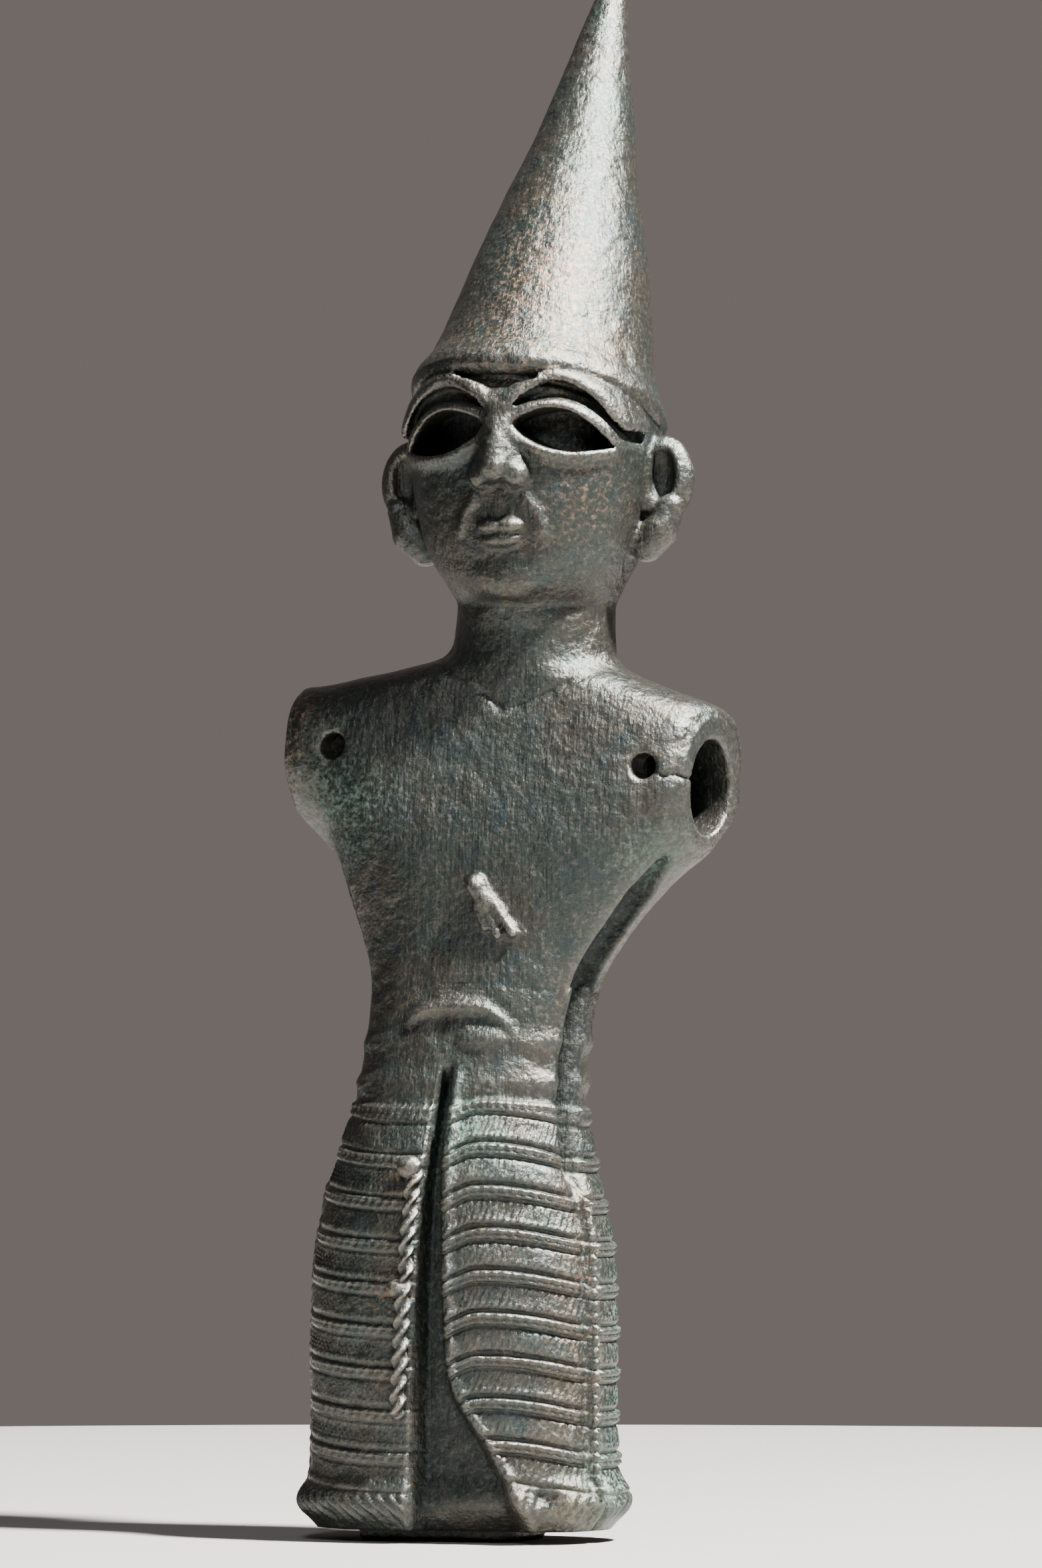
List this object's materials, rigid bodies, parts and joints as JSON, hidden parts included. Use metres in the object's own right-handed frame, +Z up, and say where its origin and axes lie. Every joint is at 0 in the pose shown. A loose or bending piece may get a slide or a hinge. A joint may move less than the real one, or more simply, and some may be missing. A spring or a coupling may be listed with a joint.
{
  "type": "storm god figurine",
  "caption": "Standing cast figure in a tall pointed cap and a flounced wrap skirt, with open arm sockets and inlay eyes, on a low tenon stub.",
  "frame": {"origin": "middle of the flat underside of the tenon stub that the figure stands on", "axes": "+Z up, the figure faces -Y, its left side is +X"},
  "size_m": [0.0533, 0.0394, 0.1803],
  "materials": {
    "bronze": "dark olive-brown patina with worn, satin high spots and green corrosion in the hollows"
  },
  "bodies": {
    "root": {"figurine": "bronze"}
  },
  "joints": []
}
